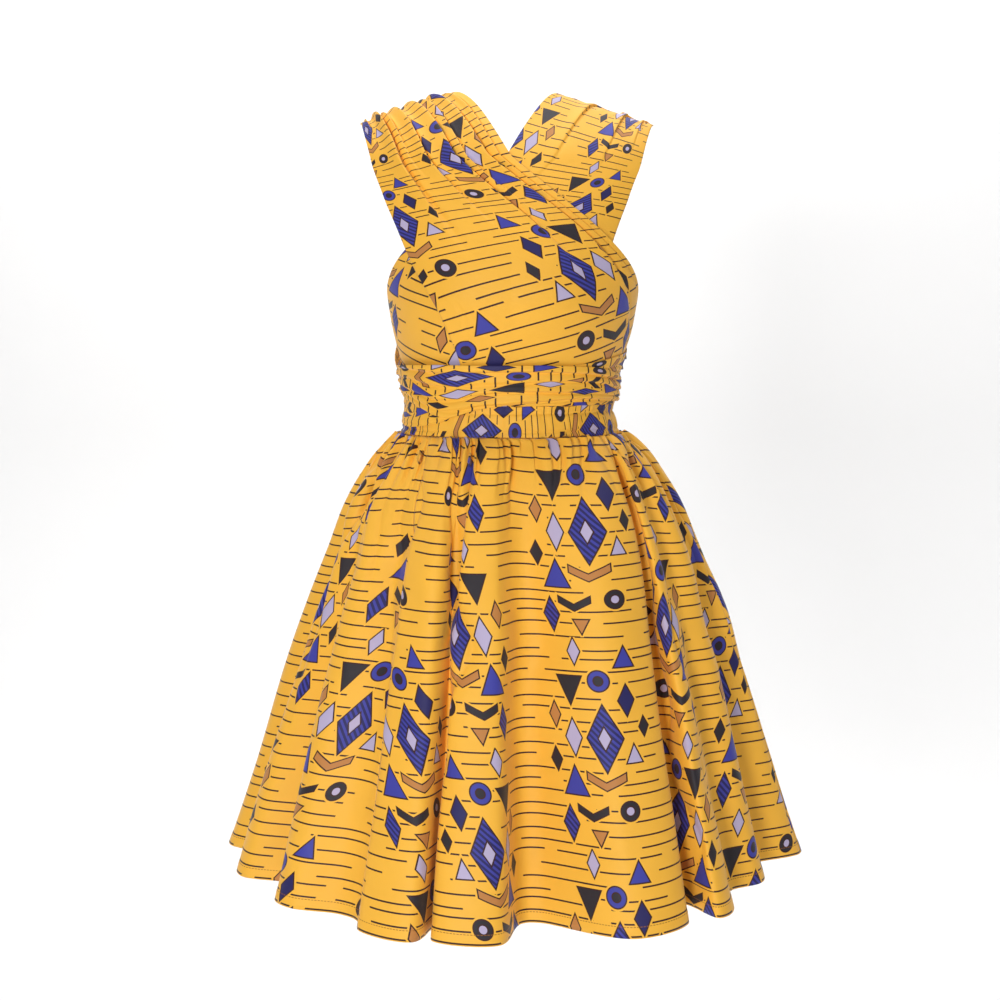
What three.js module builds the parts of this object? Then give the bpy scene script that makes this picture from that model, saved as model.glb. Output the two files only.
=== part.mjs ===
// A sleeveless wrap dress, worn and filled out with nobody in it.
// Two wide straps rise from the front waist, cross over the bust, pass over the shoulders, cross
// again down the back, wind round the waist as a sash and tie behind. A shirred waistband and a
// short, full, gathered skirt of three panels hang below.
// Millimetres, +Z up, the front towards -Y. The origin lies between the shoulders, on the line
// where the straps rest. The wearer's right is towards -X.
import * as THREE from 'three';

// ---- driving sizes ----
const CLOTH = 1.3; // thickness of one wall of cloth
const SEAM = 0.3; // gap between two pieces at a seam
const SHOULDER_GAP = 0.45; // level at which each stretch of strap starts, either side of the ridge

// How far the inside of each layer lies off the figure.
const UNDER = 0; // the left strap, which passes beneath
const OVER = 4; // the right strap, which crosses on top of it
const OVER_WAIST = 2.2; // the same strap where it is drawn in under the sash
const SASH_UNDER = 5; // the sash's first wrap
const SASH_OVER = 7.4; // the sash's second wrap, on top of the first

const RIDGE_HEIGHT = 40; // height of the line of the shoulders, carried on to the centre
const RIDGE_FALL = 0.33; // how much that line drops for each millimetre outwards
const SHOULDER_BASE = -60; // below this height the straps have left the round of the shoulders
const SHOULDER_ARC = 90; // length of strap from the shoulder line down to that height

const BAND_TOP = 364; // levels of the waistband, in millimetres of cloth below the shoulder line
const BAND_FOOT = 399;
const BAND_WALL = 2.4; // two layers of cloth over elastic
const BAND_FRILL = 1.2; // how far the shirred top edge flares

const SKIRT_TOP = -370.6; // heights of the skirt's top edge and of its hem
const HEM_FRONT = -873;
const HEM_SIDE = -852;
const HEM_BACK = -864;
const SKIRT_PUFF = 0.26; // share of the flare that the gathers take under the waist
const PUFF_DEPTH = 0.13; // share of the skirt's length over which they take it
const PUFF_LEAN = 0.22; // how much more of it they take at the wearer's left than in front
const SKIRT_INSET = 0.22; // how far a skirt panel stops short of its seams
const GATHER_SHIFT = 10; // degrees by which cloth is gathered towards the front and back

const YELLOW = 0xf3b443;
const YELLOW_DEEP = 0xe8a238;

// ---- the figure that fills the dress ----
// Height, half width, and depths in front of and behind the side line, of the inside of the cloth.
const FIGURE = [
  { z: 40, half: 182, front: 28, back: 28 },
  { z: 0, half: 182, front: 50, back: 46 },
  { z: -60, half: 182, front: 85, back: 72 },
  { z: -100, half: 175, front: 106, back: 88 },
  { z: -150, half: 157, front: 126, back: 95 },
  { z: -180, half: 148, front: 133, back: 96 },
  { z: -211, half: 142, front: 135, back: 95 },
  { z: -245, half: 136, front: 127, back: 91 },
  { z: -275, half: 128.5, front: 115, back: 87 },
  { z: -305, half: 120, front: 103, back: 83 },
  { z: -339, half: 117, front: 96, back: 81 },
  { z: -372, half: 125, front: 96, back: 84 },
  { z: -420, half: 128, front: 98, back: 86 },
];
const CUP = { x: 70, z: -208, rise: 8, spread: 38 }; // fullness that the darts give at each side

// ---- the straps, from the shoulder line down ----
// Each row is a section across a strap: the turn and level of its edge at the smaller turn, and of
// its edge at the larger turn. Turn is in degrees from the centre front towards the wearer's left.
// Level is in millimetres of cloth below the shoulder line. Lift is how far off the figure it lies.
const FRONT_PANEL_RIGHT = [
  { lowTurn: -71, lowLevel: 0, highTurn: -21.6, highLevel: 0, lift: OVER },
  { lowTurn: -65, lowLevel: 45, highTurn: -13, highLevel: 40, lift: OVER },
  { lowTurn: -58, lowLevel: 90, highTurn: -2, highLevel: 83, lift: OVER },
  { lowTurn: -54, lowLevel: 119, highTurn: 19, highLevel: 137, lift: OVER },
  { lowTurn: -51, lowLevel: 150, highTurn: 44, highLevel: 182, lift: OVER },
  { lowTurn: -48.5, lowLevel: 182, highTurn: 66, highLevel: 214, lift: OVER },
  { lowTurn: -44, lowLevel: 212, highTurn: 82, highLevel: 240, lift: OVER },
  { lowTurn: -32, lowLevel: 265, highTurn: 92, highLevel: 272, lift: OVER },
  { lowTurn: -26, lowLevel: 316, highTurn: 98, highLevel: 318, lift: OVER_WAIST },
  {
    lowTurn: -25,
    lowLevel: BAND_TOP - SEAM,
    highTurn: 100,
    highLevel: BAND_TOP - SEAM,
    lift: OVER_WAIST,
  },
];
const FRONT_PANEL_LEFT = [
  { lowTurn: 18.2, lowLevel: 0, highTurn: 65, highLevel: 0, lift: UNDER },
  { lowTurn: 11, lowLevel: 40, highTurn: 60, highLevel: 45, lift: UNDER },
  { lowTurn: 0, lowLevel: 83, highTurn: 54, highLevel: 90, lift: UNDER },
  { lowTurn: -19, lowLevel: 137, highTurn: 50, highLevel: 119, lift: UNDER },
  { lowTurn: -44, lowLevel: 182, highTurn: 47.5, highLevel: 150, lift: UNDER },
  { lowTurn: -66, lowLevel: 214, highTurn: 46, highLevel: 182, lift: UNDER },
  { lowTurn: -82, lowLevel: 240, highTurn: 43, highLevel: 212, lift: UNDER },
  { lowTurn: -92, lowLevel: 272, highTurn: 30, highLevel: 265, lift: UNDER },
  { lowTurn: -98, lowLevel: 318, highTurn: 20, highLevel: 316, lift: UNDER },
  { lowTurn: -100, lowLevel: BAND_TOP - SEAM, highTurn: 18, highLevel: BAND_TOP - SEAM, lift: UNDER },
];
const BACK_STRAP_RIGHT = [
  { lowTurn: 201.6, lowLevel: 0, highTurn: 251, highLevel: 0, lift: OVER },
  { lowTurn: 197, lowLevel: 45, highTurn: 243, highLevel: 50, lift: OVER },
  { lowTurn: 189, lowLevel: 100, highTurn: 232, highLevel: 105, lift: OVER },
  { lowTurn: 176, lowLevel: 150, highTurn: 217, highLevel: 165, lift: OVER },
  { lowTurn: 158, lowLevel: 195, highTurn: 200, highLevel: 226, lift: OVER },
  { lowTurn: 138, lowLevel: 234, highTurn: 176, highLevel: 278, lift: OVER },
  { lowTurn: 118, lowLevel: 270, highTurn: 147, highLevel: 322, lift: 4.6 },
  { lowTurn: 102, lowLevel: 293, highTurn: 118, highLevel: 350, lift: SASH_UNDER },
  { lowTurn: 90, lowLevel: 303, highTurn: 90, highLevel: 345, lift: SASH_UNDER },
];
const BACK_STRAP_LEFT = [
  { lowTurn: 115, lowLevel: 0, highTurn: 161.8, highLevel: 0, lift: UNDER },
  { lowTurn: 119, lowLevel: 50, highTurn: 165, highLevel: 45, lift: UNDER },
  { lowTurn: 129, lowLevel: 105, highTurn: 172, highLevel: 100, lift: UNDER },
  { lowTurn: 144, lowLevel: 165, highTurn: 184, highLevel: 150, lift: UNDER },
  { lowTurn: 161, lowLevel: 226, highTurn: 202, highLevel: 195, lift: UNDER },
  { lowTurn: 184, lowLevel: 278, highTurn: 222, highLevel: 236, lift: 1 },
  { lowTurn: 213, lowLevel: 322, highTurn: 242, highLevel: 276, lift: 8 },
  { lowTurn: 242, lowLevel: 350, highTurn: 258, highLevel: 304, lift: 8.4 },
  { lowTurn: 270, lowLevel: 352, highTurn: 270, highLevel: 319, lift: SASH_OVER },
];

// ---- the sash, going round the waist ----
// Each row is a place round the waist with the levels of the sash's two edges there.
const SASH_UPPER_FRONT = [
  { turn: -90, top: 319, foot: 352, lift: SASH_OVER },
  { turn: -62, top: 316, foot: 363, lift: SASH_OVER },
  { turn: -36, top: 315, foot: 378, lift: SASH_OVER },
  { turn: -14, top: 315, foot: 366, lift: SASH_OVER },
  { turn: 12, top: 315, foot: 360, lift: SASH_OVER },
  { turn: 45, top: 318, foot: 359, lift: SASH_OVER },
  { turn: 68, top: 326, foot: 360, lift: SASH_OVER },
  { turn: 90, top: 334, foot: 362, lift: SASH_OVER },
];
const SASH_LOWER_FRONT = [
  { turn: -90, top: 353, foot: 385, lift: SASH_UNDER },
  { turn: -66, top: 350, foot: 391, lift: SASH_UNDER },
  { turn: -44, top: 342, foot: 386, lift: SASH_UNDER },
  { turn: -20, top: 330, foot: 366, lift: SASH_UNDER },
  { turn: 14, top: 320, foot: 357, lift: SASH_UNDER },
  { turn: 45, top: 314, foot: 352, lift: SASH_UNDER },
  { turn: 68, top: 307, foot: 347, lift: SASH_UNDER },
  { turn: 90, top: 303, foot: 345, lift: SASH_UNDER },
];
const SASH_UPPER_BACK = [
  { turn: 90, top: 334, foot: 362, lift: SASH_OVER },
  { turn: 118, top: 328, foot: 363, lift: SASH_OVER },
  { turn: 150, top: 326, foot: 360, lift: SASH_OVER },
  { turn: 167, top: 331, foot: 356, lift: SASH_OVER },
];
const SASH_LOWER_BACK = [
  { turn: 193, top: 331, foot: 358, lift: SASH_UNDER },
  { turn: 214, top: 332, foot: 367, lift: SASH_UNDER },
  { turn: 244, top: 344, foot: 378, lift: SASH_UNDER },
  { turn: 270, top: 353, foot: 385, lift: SASH_UNDER },
];

// ---- pleats laid in the straps ----
// Place across the piece from its edge at the smaller turn, height, half width across, and the
// share of the strap's length at which each pleat has died away.
const PLEATS_RIGHT = [
  { across: 0.24, rise: 3.4, spread: 0.06, ends: 0.56 },
  { across: 0.44, rise: 2.4, spread: 0.06, ends: 0.44 },
  { across: 0.62, rise: 2.8, spread: 0.06, ends: 0.62 },
  { across: 0.8, rise: 3.4, spread: 0.07, ends: 0.82 },
];
const PLEATS_LEFT = [
  { across: 0.3, rise: 1.5, spread: 0.08, ends: 0.3 },
  { across: 0.62, rise: 2.2, spread: 0.07, ends: 0.24 },
  { across: 0.84, rise: 1.8, spread: 0.06, ends: 0.2 },
];

// ---- the skirt's folds, all the way round ----
// Each row is one fold at the hem: the turn, reach from the centre line and width of its crest,
// then the same for the valley after it.
const FOLDS = [
  { crest: -93, reach: 329, width: 6, valley: -80, depth: 288, gap: 5 },
  { crest: -71.5, reach: 316, width: 5, valley: -61, depth: 278, gap: 4 },
  { crest: -52, reach: 307, width: 5, valley: -38.5, depth: 278, gap: 5 },
  { crest: -26, reach: 297, width: 12, valley: -18.3, depth: 236, gap: 2.4 },
  { crest: -9.5, reach: 281, width: 13, valley: 5.5, depth: 214, gap: 5 },
  { crest: 31, reach: 299, width: 12, valley: 44.5, depth: 259, gap: 2 },
  { crest: 46, reach: 314, width: 5, valley: 57, depth: 282, gap: 3 },
  { crest: 66, reach: 303, width: 4, valley: 75, depth: 286, gap: 3 },
  { crest: 87, reach: 335, width: 6, valley: 97, depth: 294, gap: 5 },
  { crest: 108, reach: 320, width: 8, valley: 119, depth: 275, gap: 5 },
  { crest: 131, reach: 306, width: 9, valley: 142, depth: 258, gap: 4 },
  { crest: 154, reach: 300, width: 10, valley: 166, depth: 246, gap: 3 },
  { crest: 177, reach: 295, width: 11, valley: 190, depth: 256, gap: 5 },
  { crest: 203, reach: 304, width: 8, valley: 213, depth: 250, gap: 3 },
  { crest: 225, reach: 314, width: 9, valley: 236, depth: 276, gap: 5 },
  { crest: 247, reach: 322, width: 7, valley: 257, depth: 292, gap: 4 },
];
const SKIRT_PANELS = [ // turns of the seams on either side of each panel
  { name: 'skirt_front', from: -35, to: 85, columns: 44 },
  { name: 'skirt_back_left', from: 85, to: 205, columns: 40 },
  { name: 'skirt_back_right', from: 205, to: 325, columns: 40 },
];
const SKIRT_ROWS = [0, 0.035, 0.1, 0.22, 0.4, 0.6, 0.8, 1]; // shares of the skirt's length

// ---- the tie at the centre back ----
const KNOT = { level: 344, halfWidth: 17, halfHeight: 19, halfDepth: 12 };
const KNOT_LIFT = 17; // how far the middle of the knot stands off the figure
const TAIL_ROWS = [ // share of the tail's length, half width, and sideways place of its middle
  { share: 0, half: 8, aside: 9 },
  { share: 0.2, half: 17, aside: 17 },
  { share: 0.6, half: 25, aside: 31 },
  { share: 1, half: 29, aside: 41 },
];
const TAILS = [
  { name: 'tie_tail_right', side: -1, length: 238 },
  { name: 'tie_tail_left', side: 1, length: 214 },
];
const TAIL_CLEARANCE = 5; // how far the tails stand off the crests of the skirt
const TAIL_STEEPNESS = 0.9; // fall of a tail for each millimetre of its length

const radians = THREE.MathUtils.degToRad;
const lerp = THREE.MathUtils.lerp;

// A smooth curve through a column of a table that never swings past its rows.
function column(rows, key, value, at) {
  const last = rows.length - 1;
  const rising = rows[last][key] > rows[0][key];
  let i = 0;
  while (i < last - 1 && (rising ? rows[i + 1][key] <= at : rows[i + 1][key] >= at)) {
    i += 1;
  }
  const slope = (j) => (rows[j + 1][value] - rows[j][value]) / (rows[j + 1][key] - rows[j][key]);
  const tangent = (j) => {
    if (j === 0) return slope(0);
    if (j === last) return slope(last - 1);
    const before = slope(j - 1);
    const after = slope(j);
    return before * after <= 0 ? 0 : (2 * before * after) / (before + after);
  };
  const step = rows[i + 1][key] - rows[i][key];
  const t = THREE.MathUtils.clamp((at - rows[i][key]) / step, 0, 1);
  const u = 1 - t;
  return (
    rows[i][value] * (1 + 2 * t) * u * u +
    tangent(i) * step * t * u * u +
    rows[i + 1][value] * t * t * (3 - 2 * t) -
    tangent(i + 1) * step * t * t * u
  );
}

// A point on the figure, from its turn and its level of cloth below the shoulder line.
function figurePoint(turn, level) {
  const sine = Math.sin(radians(turn));
  const cosine = Math.cos(radians(turn));
  let z = SHOULDER_BASE - (level - SHOULDER_ARC);
  let roundness = 1;
  if (level < SHOULDER_ARC) {
    const swing = (Math.PI / 2) * (level / SHOULDER_ARC);
    const ridge = RIDGE_HEIGHT - RIDGE_FALL * FIGURE[0].half * Math.abs(sine);
    z = SHOULDER_BASE + (ridge - SHOULDER_BASE) * Math.cos(swing);
    roundness = Math.sin(swing);
  }
  const x = column(FIGURE, 'z', 'half', z) * sine;
  const depth = column(FIGURE, 'z', cosine > 0 ? 'front' : 'back', z);
  const away = ((Math.abs(x) - CUP.x) ** 2 + (z - CUP.z) ** 2) / (2 * CUP.spread ** 2);
  const cup = cosine > 0 ? CUP.rise * Math.exp(-away) * cosine : 0;
  return new THREE.Vector3(x, -depth * cosine * roundness - cup, z);
}

// The same point moved straight off the figure.
function liftedPoint(turn, level, lift) {
  const step = 0.5;
  const point = figurePoint(turn, level);
  const down = figurePoint(turn, level + step).sub(figurePoint(turn, Math.max(level - step, 0)));
  const round = figurePoint(turn + step, level).sub(figurePoint(turn - step, level));
  return point.addScaledVector(down.cross(round).normalize(), lift);
}

function pleatRise(pleats, across, along) {
  let rise = 0;
  for (const pleat of pleats) {
    const offset = (across - pleat.across) / pleat.spread;
    const fade = Math.max(0, 1 - along / pleat.ends);
    rise += pleat.rise * Math.exp(-offset * offset) * fade;
  }
  return rise;
}

// Grids are rows down the piece, each a list of points in the order of growing turn. Offset is how
// far the grid lies outside the inner face of the cloth.
function strapGrid(table, pleats, rows, columns, offset) {
  const sections = table.map((row, place) => ({ ...row, place }));
  const grid = [];
  for (let i = 0; i <= rows; i += 1) {
    const along = i / rows;
    const place = along * (table.length - 1);
    const value = (name) => column(sections, 'place', name, place);
    const points = [];
    for (let j = 0; j <= columns; j += 1) {
      const across = j / columns;
      const turn = lerp(value('lowTurn'), value('highTurn'), across);
      const level = lerp(value('lowLevel'), value('highLevel'), across) + (i === 0 ? SHOULDER_GAP : 0);
      const lift = value('lift') + pleatRise(pleats, across, along) + offset;
      points.push(liftedPoint(turn, level, lift));
    }
    grid.push(points);
  }
  return grid;
}

function wrapGrid(table, rows, columns, offset) {
  const first = table[0].turn;
  const last = table[table.length - 1].turn;
  const grid = [];
  for (let i = 0; i <= rows; i += 1) {
    const points = [];
    for (let j = 0; j <= columns; j += 1) {
      const turn = lerp(first, last, j / columns);
      const value = (name) => column(table, 'turn', name, turn);
      const level = lerp(value('top'), value('foot'), i / rows);
      points.push(liftedPoint(turn, level, value('lift') + offset));
    }
    grid.push(points);
  }
  return grid;
}

// Draws the two end columns in, so that pieces that meet there stay a seam apart.
function insetEnds(grid, distance) {
  for (const points of grid) {
    const pull = (end, next) => {
      const way = points[next].clone().sub(points[end]).normalize();
      points[end].addScaledVector(way, distance);
    };
    pull(0, 1);
    pull(points.length - 1, points.length - 2);
  }
  return grid;
}

// ---- closed bodies ----
function meshOf(name, positions, triangles, color) {
  const geometry = new THREE.BufferGeometry();
  geometry.setAttribute('position', new THREE.Float32BufferAttribute(positions, 3));
  geometry.setIndex(triangles);
  geometry.computeVertexNormals();
  const material = new THREE.MeshStandardMaterial({ color, roughness: 0.72, metalness: 0 });
  const mesh = new THREE.Mesh(geometry, material);
  mesh.name = name;
  return mesh;
}

// A wall of cloth between an inner and an outer grid of points.
function clothWall(name, innerGrid, outerGrid, color) {
  const rows = innerGrid.length;
  const columns = innerGrid[0].length;
  const positions = [...innerGrid, ...outerGrid].flatMap((points) => points.flatMap((p) => p.toArray()));
  const inner = (i, j) => i * columns + j;
  const outer = (i, j) => rows * columns + inner(i, j);
  const triangles = [];
  const quad = (a, b, c, d) => triangles.push(a, b, c, a, c, d);
  for (let i = 0; i < rows - 1; i += 1) {
    for (let j = 0; j < columns - 1; j += 1) {
      quad(outer(i, j), outer(i + 1, j), outer(i + 1, j + 1), outer(i, j + 1));
      quad(inner(i, j), inner(i, j + 1), inner(i + 1, j + 1), inner(i + 1, j));
    }
  }
  for (let j = 0; j < columns - 1; j += 1) {
    const foot = rows - 1;
    quad(outer(0, j), outer(0, j + 1), inner(0, j + 1), inner(0, j));
    quad(outer(foot, j + 1), outer(foot, j), inner(foot, j), inner(foot, j + 1));
  }
  for (let i = 0; i < rows - 1; i += 1) {
    const end = columns - 1;
    quad(outer(i + 1, 0), outer(i, 0), inner(i, 0), inner(i + 1, 0));
    quad(outer(i, end), outer(i + 1, end), inner(i + 1, end), inner(i, end));
  }
  return meshOf(name, positions, triangles, color);
}

// ---- the skirt ----
// The hem's line in plan, as a closed smooth curve, and where along it each turn falls.
function hemLine() {
  const points = [];
  const turns = [];
  const add = (turn, reach) => {
    const angle = radians(turn);
    points.push(new THREE.Vector3(reach * Math.sin(angle), -reach * Math.cos(angle), 0));
    turns.push(turn);
  };
  for (const fold of FOLDS) {
    add(fold.crest - fold.width / 2, fold.reach);
    add(fold.crest + fold.width / 2, fold.reach);
    add(fold.valley - fold.gap / 2, fold.depth);
    add(fold.valley + fold.gap / 2, fold.depth);
  }
  const curve = new THREE.CatmullRomCurve3(points, true, 'centripetal');
  curve.arcLengthDivisions = 4000;
  const lengths = curve.getLengths();
  const total = lengths[lengths.length - 1];
  const marks = [];
  for (let i = 0; i <= points.length; i += 2) {
    const middle = (i + 0.5) / points.length;
    const share = lengths[Math.round(middle * curve.arcLengthDivisions)] / total;
    const turn = i < points.length ? (turns[i] + turns[i + 1]) / 2 : (turns[0] + turns[1]) / 2 + 360;
    marks.push({ share: i < points.length ? share : 1 + marks[0].share, turn });
  }
  return { curve, marks };
}

const hem = hemLine();

// Moves a value by whole rounds so that it falls within one round after the first mark.
function withinRound(value, start, round) {
  return start + (((value - start) % round) + round) % round;
}

function shareAtTurn(turn) {
  return column(hem.marks, 'turn', 'share', withinRound(turn, hem.marks[0].turn, 360));
}

function turnAtShare(share) {
  return column(hem.marks, 'share', 'turn', withinRound(share, hem.marks[0].share, 1));
}

// How much of its flare the skirt has at a share of its length.
function flareAt(drop, turn) {
  const puff = SKIRT_PUFF * (1 + PUFF_LEAN * Math.sin(radians(turn)));
  return drop + puff * (1 - Math.exp(-drop / PUFF_DEPTH)) * (1 - drop);
}

function skirtPoint(share, drop) {
  const turn = turnAtShare(share);
  const gathered = turn + GATHER_SHIFT * Math.sin(2 * radians(turn));
  const waist = figurePoint(gathered, SHOULDER_ARC + SHOULDER_BASE - SKIRT_TOP);
  const point = hem.curve.getPointAt(share - Math.floor(share));
  const facing = -Math.cos(radians(turn));
  const hemHeight = lerp(HEM_SIDE, facing < 0 ? HEM_FRONT : HEM_BACK, facing * facing);
  const flare = flareAt(drop, turn);
  return new THREE.Vector3(
    lerp(waist.x, point.x, flare),
    lerp(waist.y, point.y, flare),
    lerp(SKIRT_TOP, hemHeight, drop),
  );
}

function skirtPanel(panel) {
  const from = shareAtTurn(panel.from);
  let to = shareAtTurn(panel.to);
  if (to < from) to += 1;
  const step = 0.0004;
  const gridAt = (offset) => {
    const grid = SKIRT_ROWS.map((drop) => {
      const points = [];
      for (let j = 0; j <= panel.columns; j += 1) {
        const share = lerp(from, to, j / panel.columns);
        const point = skirtPoint(share, drop);
        const down = skirtPoint(share, drop + step).sub(skirtPoint(share, drop - step));
        const round = skirtPoint(share + step, drop).sub(skirtPoint(share - step, drop));
        points.push(point.addScaledVector(down.cross(round).normalize(), offset));
      }
      return points;
    });
    return insetEnds(grid, SKIRT_INSET);
  };
  return clothWall(panel.name, gridAt(0), gridAt(CLOTH), YELLOW);
}

// ---- the bodice, waistband and sash ----
function bodice() {
  const group = new THREE.Group();
  const strap = (name, table, pleats, rows, columns) => {
    const inner = strapGrid(table, pleats, rows, columns, 0);
    const outer = strapGrid(table, pleats, rows, columns, CLOTH);
    group.add(clothWall(name, inner, outer, YELLOW));
  };
  strap('front_panel_left', FRONT_PANEL_LEFT, PLEATS_LEFT, 18, 16);
  strap('front_panel_right', FRONT_PANEL_RIGHT, PLEATS_RIGHT, 18, 20);
  strap('back_strap_left', BACK_STRAP_LEFT, [], 14, 6);
  strap('back_strap_right', BACK_STRAP_RIGHT, [], 14, 6);
  return group;
}

function waistbandHalf(name, from, to) {
  const table = [
    { level: BAND_TOP, lift: BAND_FRILL },
    { level: BAND_TOP + 5, lift: SEAM },
    { level: BAND_FOOT, lift: SEAM },
  ];
  const columns = 18;
  const gridAt = (offset) => {
    const grid = table.map((row) => {
      const points = [];
      for (let j = 0; j <= columns; j += 1) {
        points.push(liftedPoint(lerp(from, to, j / columns), row.level, row.lift + offset));
      }
      return points;
    });
    return insetEnds(grid, SEAM / 2);
  };
  return clothWall(name, gridAt(0), gridAt(BAND_WALL), YELLOW_DEEP);
}

function sash() {
  const group = new THREE.Group();
  const stretch = (name, table, columns) => {
    const inner = insetEnds(wrapGrid(table, 3, columns, 0), SEAM / 2);
    const outer = insetEnds(wrapGrid(table, 3, columns, CLOTH), SEAM / 2);
    group.add(clothWall(name, inner, outer, YELLOW_DEEP));
  };
  stretch('sash_lower_front', SASH_LOWER_FRONT, 20);
  stretch('sash_upper_front', SASH_UPPER_FRONT, 20);
  stretch('sash_lower_back', SASH_LOWER_BACK, 9);
  stretch('sash_upper_back', SASH_UPPER_BACK, 9);
  return group;
}

// ---- the tie at the centre back ----
// The knot is a rounded bundle of cloth, made of rings between two pole points.
function tieKnot() {
  const rings = 8;
  const sides = 16;
  const middle = liftedPoint(180, KNOT.level, KNOT_LIFT);
  const positions = [middle.x, middle.y, middle.z - KNOT.halfHeight];
  for (let i = 1; i < rings; i += 1) {
    const rise = -Math.cos((Math.PI * i) / rings);
    const girth = Math.sqrt(1 - rise * rise) ** 0.7;
    for (let j = 0; j < sides; j += 1) {
      const angle = (2 * Math.PI * j) / sides;
      positions.push(
        middle.x + KNOT.halfWidth * girth * Math.cos(angle),
        middle.y + KNOT.halfDepth * girth * Math.sin(angle),
        middle.z + KNOT.halfHeight * rise,
      );
    }
  }
  positions.push(middle.x, middle.y, middle.z + KNOT.halfHeight);
  const top = 1 + (rings - 1) * sides;
  const at = (ring, side) => 1 + ring * sides + (side % sides);
  const triangles = [];
  for (let j = 0; j < sides; j += 1) {
    triangles.push(0, at(0, j + 1), at(0, j));
    triangles.push(top, at(rings - 2, j), at(rings - 2, j + 1));
    for (let i = 0; i < rings - 2; i += 1) {
      triangles.push(at(i, j), at(i, j + 1), at(i + 1, j + 1));
      triangles.push(at(i, j), at(i + 1, j + 1), at(i + 1, j));
    }
  }
  return meshOf('tie_knot', positions, triangles, YELLOW_DEEP);
}

// How far behind the centre line the crests of the skirt reach at a height.
function backReach(z) {
  const drop = THREE.MathUtils.clamp((SKIRT_TOP - z) / (SKIRT_TOP - HEM_BACK), 0, 1);
  const waist = figurePoint(180, SHOULDER_ARC + SHOULDER_BASE - SKIRT_TOP).y;
  const crest = Math.max(...FOLDS.map((fold) => (Math.abs(fold.crest - 180) < 30 ? fold.reach : 0)));
  return lerp(waist, crest, flareAt(drop, 180));
}

function tieTail(tail) {
  const rows = 8;
  const columns = 4;
  const top = liftedPoint(180, KNOT.level, 0).z - KNOT.halfHeight - SEAM;
  const gridAt = (offset) => {
    const grid = [];
    for (let i = 0; i <= rows; i += 1) {
      const share = i / rows;
      const z = top - share * tail.length * TAIL_STEEPNESS;
      const value = (name) => column(TAIL_ROWS, 'share', name, share);
      const reach = backReach(z) + TAIL_CLEARANCE + (tail.side > 0 ? 2 * CLOTH : 0) + offset;
      const points = [];
      for (let j = 0; j <= columns; j += 1) {
        const x = tail.side * value('aside') + value('half') * (1 - (2 * j) / columns);
        points.push(new THREE.Vector3(x, Math.sqrt(reach * reach - x * x), z));
      }
      grid.push(points);
    }
    return grid;
  };
  return clothWall(tail.name, gridAt(0), gridAt(CLOTH), YELLOW);
}

const dress = new THREE.Group();
dress.add(bodice());
dress.add(waistbandHalf('waistband_front', -90, 90));
dress.add(waistbandHalf('waistband_back', 90, 270));
dress.add(sash());
dress.add(tieKnot());
for (const tail of TAILS) {
  dress.add(tieTail(tail));
}
for (const panel of SKIRT_PANELS) {
  dress.add(skirtPanel(panel));
}

export default dress;
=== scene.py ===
import math

import bpy
import numpy as np
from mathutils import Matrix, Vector


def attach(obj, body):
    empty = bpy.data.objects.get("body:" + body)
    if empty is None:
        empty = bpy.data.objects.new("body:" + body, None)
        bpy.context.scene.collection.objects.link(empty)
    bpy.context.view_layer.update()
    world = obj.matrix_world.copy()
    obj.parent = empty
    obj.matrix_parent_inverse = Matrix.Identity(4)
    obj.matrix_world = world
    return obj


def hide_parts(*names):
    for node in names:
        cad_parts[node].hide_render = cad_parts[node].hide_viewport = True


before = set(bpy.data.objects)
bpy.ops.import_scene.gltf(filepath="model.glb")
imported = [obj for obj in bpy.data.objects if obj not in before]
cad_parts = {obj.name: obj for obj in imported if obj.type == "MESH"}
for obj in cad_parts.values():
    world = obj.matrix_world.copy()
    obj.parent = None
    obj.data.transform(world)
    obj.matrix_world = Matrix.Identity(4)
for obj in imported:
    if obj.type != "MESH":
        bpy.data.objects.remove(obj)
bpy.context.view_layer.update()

MM = 0.001
CLOTH = 0.7  # thickness of the cloth that is shown
CLOTH_REST = 0.3  # how far its inside lies off the inside of the solid wall

# ---------------------------------------------------------------- the figure and the straps
RIDGE_HEIGHT, RIDGE_FALL, SHOULDER_HALF = 40, 0.33, 182
SHOULDER_BASE, SHOULDER_ARC = -60, 90
UNDER, OVER, OVER_WAIST, SASH_UNDER, SASH_OVER = 0, 4, 2.2, 5, 7.4
BAND_TOP, BAND_FOOT = 364, 399
SKIRT_TOP, HEM_FRONT, HEM_SIDE, HEM_BACK = -370.6, -873, -852, -864
SKIRT_PUFF, PUFF_DEPTH, PUFF_LEAN, SKIRT_INSET, GATHER_SHIFT = 0.26, 0.13, 0.22, 0.22, 10
SHOULDER_GAP = 0.45  # how far short of the shoulder line each stretch of a strap stops


def table(names, *rows):
    """Rows of numbers with named columns."""
    return {name: np.array(values, float) for name, values in zip(names.split(), zip(*rows))}


FIGURE = table(
    "z half front back",
    (-420, 128, 98, 86), (-372, 125, 96, 84), (-339, 117, 96, 81), (-305, 120, 103, 83),
    (-275, 128.5, 115, 87), (-245, 136, 127, 91), (-211, 142, 135, 95), (-180, 148, 133, 96),
    (-150, 157, 126, 95), (-100, 175, 106, 88), (-60, 182, 85, 72), (0, 182, 50, 46), (40, 182, 28, 28),
)
CUP_X, CUP_Z, CUP_RISE, CUP_SPREAD = 70, -208, 8, 38
STRAP = "low_turn low_level high_turn high_level lift"
FRONT_PANEL_RIGHT = table(
    STRAP,
    (-71, 0, -21.6, 0, OVER), (-65, 45, -13, 40, OVER), (-58, 90, -2, 83, OVER),
    (-54, 119, 19, 137, OVER), (-51, 150, 44, 182, OVER), (-48.5, 182, 66, 214, OVER),
    (-44, 212, 82, 240, OVER), (-32, 265, 92, 272, OVER), (-26, 316, 98, 318, OVER_WAIST),
    (-25, 363.7, 100, 363.7, OVER_WAIST),
)
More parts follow.
